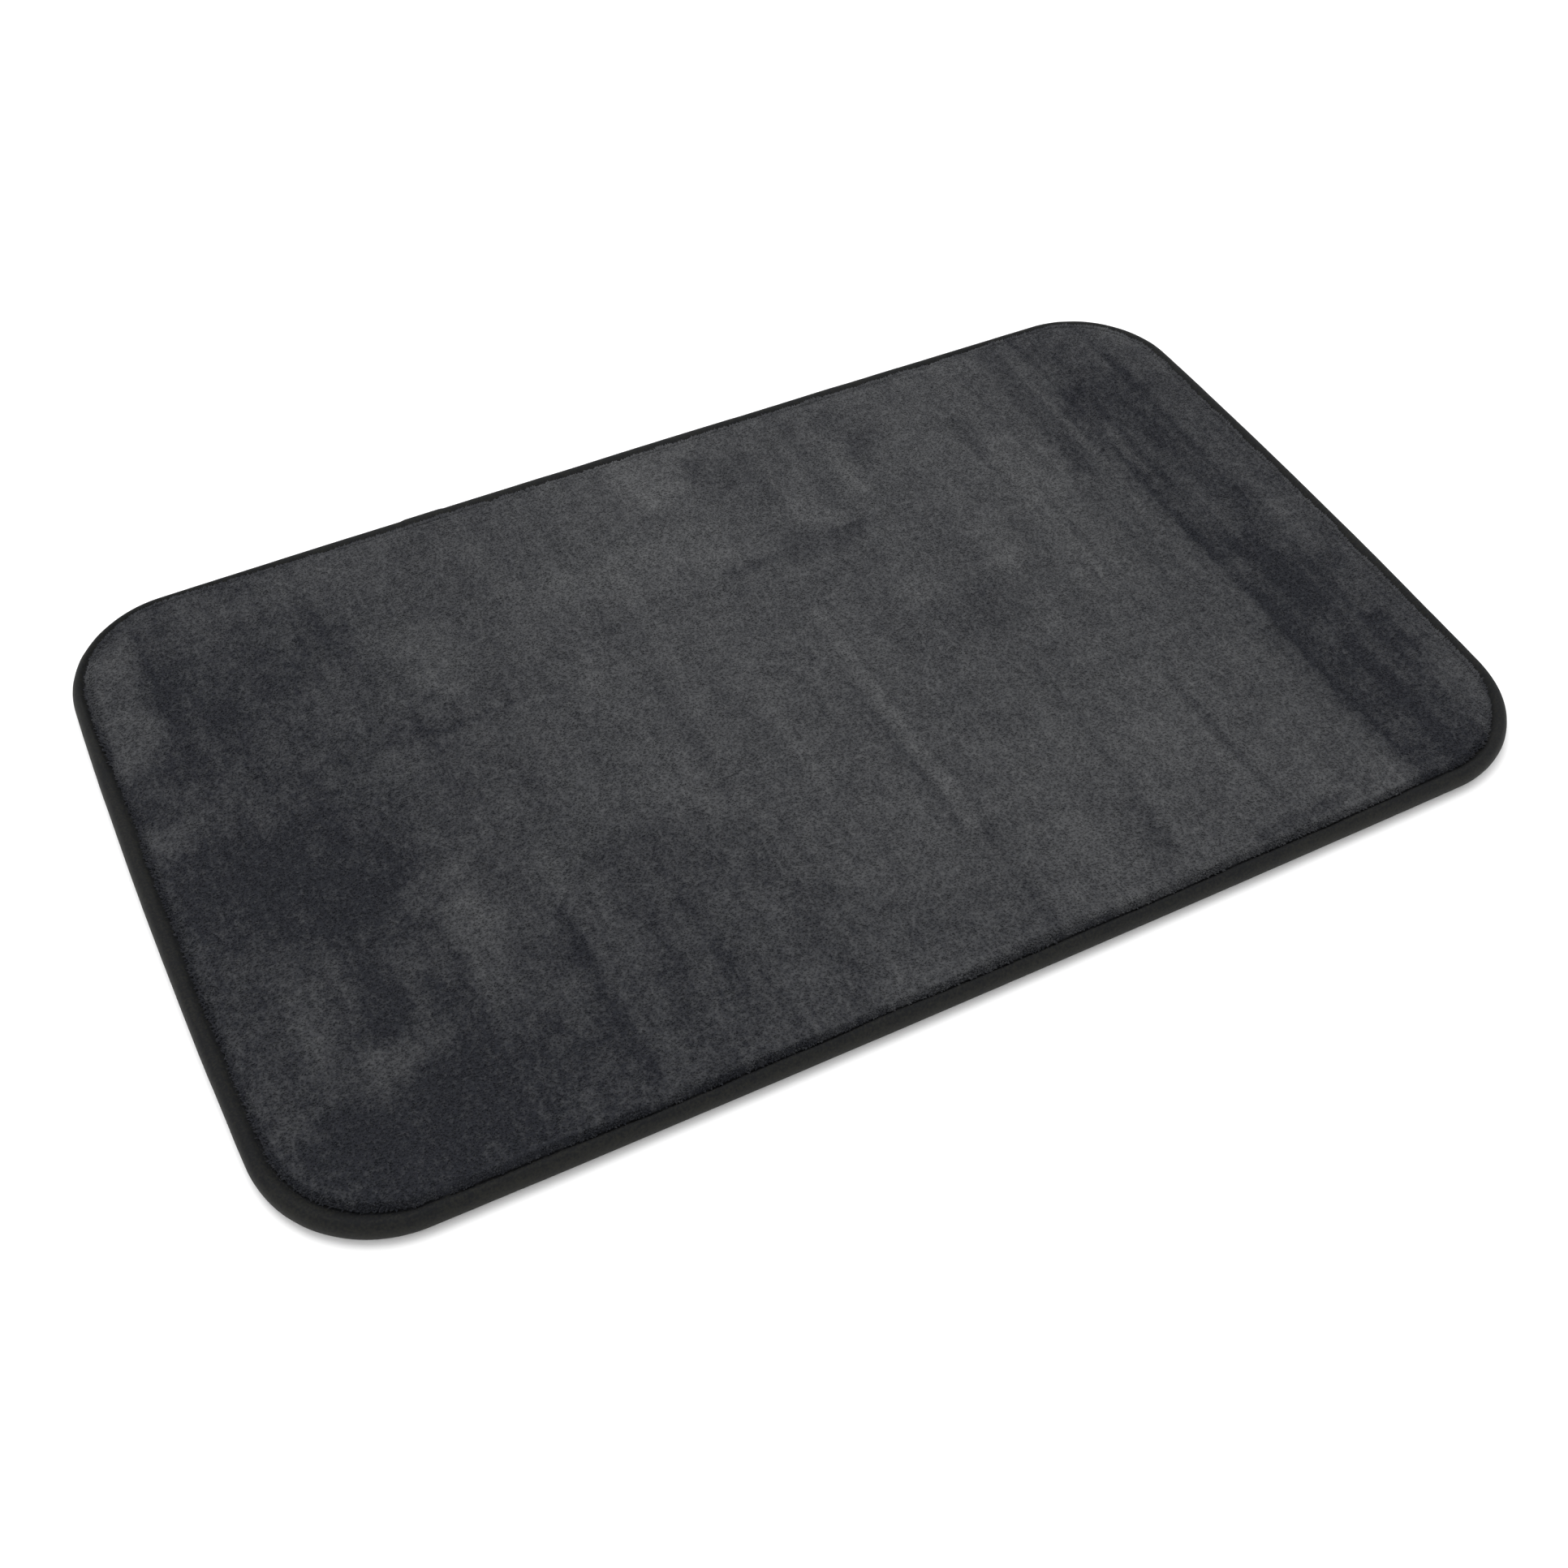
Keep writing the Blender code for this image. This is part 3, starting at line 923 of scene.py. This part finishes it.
def make_backing_cloth(material):
    """The backing under the foam: flat inside the tape's lower limb, its rim stepped up over that limb."""
    middle = UNDERSIDE_SEAM_INSET + 0.4 * MM
    rim_top = BACKING_TOP
    rim_bottom = BACKING_TOP - 0.8 * MM
    flat_bottom = BINDING_BOTTOM + 0.05 * MM
    rim = [
        (middle + 3 * MM, rim_top),
        (CLOTH_EDGE_INSET + 0.2 * MM, rim_top),
        (CLOTH_EDGE_INSET, (rim_top + rim_bottom) / 2),
        (CLOTH_EDGE_INSET + 0.2 * MM, rim_bottom),
        (middle, rim_bottom),
        (middle + 0.4 * MM, flat_bottom + 0.3 * MM),
        (middle + 1.2 * MM, flat_bottom),
    ]

    def height(x, y):
        deeper = ease((OUTLINE.inset(x, y) - middle) / (12 * MM))
        return flat_bottom + 0.10 * MM * (1 + lattice_noise(x, y, 14 * MM, 14 * MM, 71)) * deeper

    points, faces = quilted_sheet(200, 124, [level_step(*step) for step in rim], height)
    return new_piece("backing_cloth", points, flipped(faces), material)


def make_grip_dots(settings, material):
    """Domed rubber dots in a hexagonal pattern, flat where they meet the floor."""
    pitch = settings.dot_pitch
    columns = np.arange(-LENGTH / 2, LENGTH / 2, pitch)
    rows = np.arange(-WIDTH / 2, WIDTH / 2, pitch * math.sqrt(3) / 2)
    x, y = np.meshgrid(columns, rows)
    x = x + (np.arange(len(rows)) % 2)[:, None] * pitch / 2
    x, y = x.ravel(), y.ravel()
    kept = OUTLINE.inset(x, y) > UNDERSIDE_SEAM_INSET + 8 * MM
    centre = np.stack([x[kept], y[kept]], axis=-1)
    radius = settings.dot_diameter / 2
    top = BINDING_BOTTOM + 0.15 * MM
    sides = 10
    angle = np.arange(sides) * (2 * math.pi / sides)
    circle = np.stack([np.cos(angle), np.sin(angle)], axis=-1)
    rings = []
    for share, z in ((0.62, 0.0), (0.86, 0.18 * top), (1.0, 0.62 * top), (0.80, top)):
        ring = centre[:, None] + share * radius * circle
        rings.append(np.dstack([ring, np.full(ring.shape[:2], z)]))
    points = np.stack(rings, axis=1).reshape(-1, 3)
    faces = repeated(closed_tube(len(rings), sides), len(centre), len(rings) * sides)
    return new_piece("grip_dots", points, faces, material)


def make_foam_slab(material):
    """The foam core: a slab with a half-elliptic edge, pinched along the seam by a bell of its distance."""
    middle = (FOAM_BOTTOM + FOAM_TOP) / 2
    half = (FOAM_TOP - FOAM_BOTTOM) / 2
    reach = 3.0 * MM

    def height(x, y):
        past_seam = OUTLINE.inset(x, y) - seam_inset(x, y)
        spread = 3.6 * MM
        uneven = 0.12 * MM * lattice_noise(x, y, 40 * MM, 40 * MM, 81) * ease(past_seam / spread)
        return FOAM_TOP - 2.3 * MM * bell(past_seam, spread) + uneven

    steps = [
        level_step(FOAM_EDGE_INSET + reach * (1 - math.cos(angle)), middle + half * math.sin(angle))
        for angle in np.linspace(-math.pi / 2, math.pi / 2, 11)
    ]
    points, faces = quilted_sheet(220, 136, steps, height)
    return new_piece("foam_slab", points, faces, material)


# --- Settings, operators and panel ---


def length_property(name, description, default):
    return FloatProperty(name=name, description=description, default=default, min=0.0, unit="LENGTH")


def colour_property(name, description, default):
    return FloatVectorProperty(
        name=name, description=description, default=default, subtype="COLOR", size=3, min=0.0, max=1.0
    )


class BathMatSettings(bpy.types.PropertyGroup):
    """Sizes and colours of the bath mat that a user would change."""

    tuft_spacing: length_property("Tuft spacing", "Distance between neighbouring tufts", 1.45 * MM)
    tuft_length: length_property("Tuft length", "Length of a tuft above the pile's foot", 1.55 * MM)
    edge_tuft_length: length_property("Edge tuft length", "Length of the tufts over the seam", 2.1 * MM)
    edge_tuft_rows: FloatProperty(
        name="Edge tuft rows",
        description="Rows of tufts along the pile's rim",
        default=7.0,
        min=0.5,
        max=10.0,
    )
    stitch_pitch: length_property("Stitch pitch", "Length of one stitch", 3.0 * MM)
    dot_pitch: length_property("Dot pitch", "Distance between neighbouring grip dots", 14 * MM)
    dot_diameter: length_property("Dot diameter", "Width of one grip dot", 4.2 * MM)
    # Ends of the pile's tone; the spread between them is painted sheen and shade of the brushed pile.
    pile_dark: colour_property("Pile, dark", "Pile brushed away from the light", (0.0130, 0.0139, 0.0172))
    pile_light: colour_property("Pile, light", "Pile brushed towards the light", (0.0815, 0.0827, 0.0842))
    # Tape, dark: reached in the painted shade of the groove by the seam, and in dark flecks of dye.
    tape_dark: colour_property("Tape, dark", "Binding tape in its folds", (0.0042, 0.0046, 0.0055))
    # Tape, light: the tape's colour lower down its side, where it is paler.
    tape_light: colour_property("Tape, light", "Binding tape where it is rubbed", (0.0118, 0.0118, 0.0100))
    backing_colour: colour_property("Backing", "Backing cloth", (0.040, 0.041, 0.043))
    dot_colour: colour_property("Grip dots", "Rubber of the grip dots", (0.015, 0.015, 0.016))
    thread_colour: colour_property("Thread", "Sewing thread", (0.0050, 0.0050, 0.0055))
    foam_colour: colour_property("Foam", "Foam core", (0.72, 0.69, 0.58))
    floor_colour: colour_property("Floor", "Studio floor", (0.90, 0.90, 0.90))


class BATHMAT_OT_foam(bpy.types.Operator):
    """Cut the foam core"""

    bl_idname = "bathmat.foam"
    bl_label = "Foam Core"
    bl_options = {"REGISTER", "UNDO"}

    def execute(self, context):
        foam = make_foam_slab(foam_material(context.scene.bath_mat))
        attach(foam, "root")
        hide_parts("foam_core")
        return {"FINISHED"}


class BATHMAT_OT_backing(bpy.types.Operator):
    """Lay the backing cloth with its grip dots"""

    bl_idname = "bathmat.backing"
    bl_label = "Non-slip Backing"
    bl_options = {"REGISTER", "UNDO"}

    def execute(self, context):
        settings = context.scene.bath_mat
        cloth = make_backing_cloth(backing_material(settings))
        dots = make_grip_dots(settings, rubber_material(settings))
        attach(cloth, "root")
        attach(dots, "root")
        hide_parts("nonslip_backing")
        return {"FINISHED"}


class BATHMAT_OT_cover(bpy.types.Operator):
    """Lay the plush cover and its tufts"""

    bl_idname = "bathmat.cover"
    bl_label = "Plush Cover"
    bl_options = {"REGISTER", "UNDO"}

    def execute(self, context):
        settings = context.scene.bath_mat
        material = plush_material(settings)
        cover = make_plush_cover(material)
        tufts = [*make_field_tufts(settings, material), make_edge_tufts(settings, material)]
        for piece in (cover, *tufts):
            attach(piece, "root")
        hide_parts("pile_cover")
        return {"FINISHED"}


class BATHMAT_OT_binding(bpy.types.Operator):
    """Fold the binding tape round the edge"""

    bl_idname = "bathmat.binding"
    bl_label = "Edge Binding"
    bl_options = {"REGISTER", "UNDO"}

    def execute(self, context):
        settings = context.scene.bath_mat
        tape, tape_width = make_bound_edge(settings, tape_material(settings))
        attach(tape, "root")
        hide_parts("edge_binding")
        return {"FINISHED"}


class BATHMAT_OT_stitching(bpy.types.Operator):
    """Sew the seam: a needle thread on top and a bobbin thread underneath"""

    bl_idname = "bathmat.stitching"
    bl_label = "Stitching"
    bl_options = {"REGISTER", "UNDO"}

    def execute(self, context):
        settings = context.scene.bath_mat
        material = thread_material(settings)

        def along_seam(x, y):
            return seam_inset(x, y) - SEAM_INSET + STITCH_INSET

        def under_edge(x, y):
            return np.full(np.shape(x), STITCH_INSET)

        rows = (
            ("needle_stitches", "needle_thread", along_seam, BINDING_TOP - SEAM_DEPTH, 0.24, 0.45),
            ("bobbin_stitches", "bobbin_thread", under_edge, BINDING_BOTTOM - 0.15 * MM, 0.20, -0.3),
        )
        for name, node, inset_of, height, radius, arch in rows:
            piece = make_stitches(name, settings, material, inset_of, height, radius * MM, arch * MM)
            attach(piece, "root")
            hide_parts(node)
        return {"FINISHED"}


class BATHMAT_OT_studio(bpy.types.Operator):
    """Set up the floor, the lights and the camera"""

    bl_idname = "bathmat.studio"
    bl_label = "Studio"
    bl_options = {"REGISTER", "UNDO"}

    def execute(self, context):
        make_floor(context.scene.bath_mat)
        make_lights()
        make_camera()
        return {"FINISHED"}


def make_floor(settings):
    """A wide flat floor just under the mat."""
    half, z = 4.0, -0.02 * MM
    points = np.array([(-half, -half, z), (half, -half, z), (half, half, z), (-half, half, z)])
    new_piece("studio_floor", points, [[0, 1, 2, 3]], floor_material(settings))


def make_lights():
    """White surroundings with a broad soft light overhead, aimed at the mat's middle."""
    scene = bpy.context.scene
    scene.view_settings.view_transform = "Standard"
    scene.world = bpy.data.worlds.new("studio")
    scene.world.use_nodes = True
    surroundings = scene.world.node_tree.nodes["Background"]
    surroundings.inputs["Color"].default_value = (1.0, 1.0, 1.0, 1.0)
    surroundings.inputs["Strength"].default_value = 1.25
    light = bpy.data.lights.new("overhead light", "AREA")
    light.shape = "DISK"
    light.size = 1.6
    light.energy = 26.0
    lamp = bpy.data.objects.new("overhead light", light)
    place = Vector((-0.3, 0.4, 2.2))
    aimed = (-place).to_track_quat("-Z", "Y").to_matrix().to_4x4()
    lamp.matrix_world = Matrix.Translation(place) @ aimed
    scene.collection.objects.link(lamp)


def make_camera():
    """Camera above the front, a little to the left, turned slightly about its own axis."""
    azimuth, elevation, roll = (math.radians(angle) for angle in (-28.068, 49.352, 1.383))
    aim = Matrix.Translation((-0.03491, -0.06061, 0.0))
    turned = Matrix.Rotation(azimuth, 4, "Z") @ Matrix.Rotation(math.pi / 2 - elevation, 4, "X")
    turned = turned @ Matrix.Rotation(roll, 4, "Z")
    camera = bpy.data.cameras.new("camera")
    camera.sensor_width = 36.0
    camera.lens = 44.94
    camera.clip_start = 0.02
    eye = bpy.data.objects.new("camera", camera)
    eye.matrix_world = aim @ turned @ Matrix.Translation((0.0, 0.0, 1.1678))
    bpy.context.scene.collection.objects.link(eye)
    bpy.context.scene.camera = eye


OPERATORS = (
    BATHMAT_OT_studio,
    BATHMAT_OT_foam,
    BATHMAT_OT_backing,
    BATHMAT_OT_cover,
    BATHMAT_OT_binding,
    BATHMAT_OT_stitching,
)


class BATHMAT_PT_panel(bpy.types.Panel):
    """Lists the mat's sizes, colours and operators"""

    bl_label = "Bath Mat"
    bl_idname = "BATHMAT_PT_panel"
    bl_space_type = "VIEW_3D"
    bl_region_type = "UI"
    bl_category = "Bath Mat"

    def draw(self, context):
        settings = context.scene.bath_mat
        for name in settings.bl_rna.properties.keys():
            if name not in {"rna_type", "name"}:
                self.layout.prop(settings, name)
        for operator in OPERATORS:
            self.layout.operator(operator.bl_idname)


CLASSES = (BathMatSettings, *OPERATORS, BATHMAT_PT_panel)


def register():
    for cls in CLASSES:
        bpy.utils.register_class(cls)
    bpy.types.Scene.bath_mat = PointerProperty(type=BathMatSettings)


def unregister():
    del bpy.types.Scene.bath_mat
    for cls in reversed(CLASSES):
        bpy.utils.unregister_class(cls)


def main():
    register()
    bpy.ops.bathmat.studio()
    bpy.ops.bathmat.foam()
    bpy.ops.bathmat.backing()
    bpy.ops.bathmat.cover()
    bpy.ops.bathmat.binding()
    bpy.ops.bathmat.stitching()


if __name__ == "__main__":
    main()
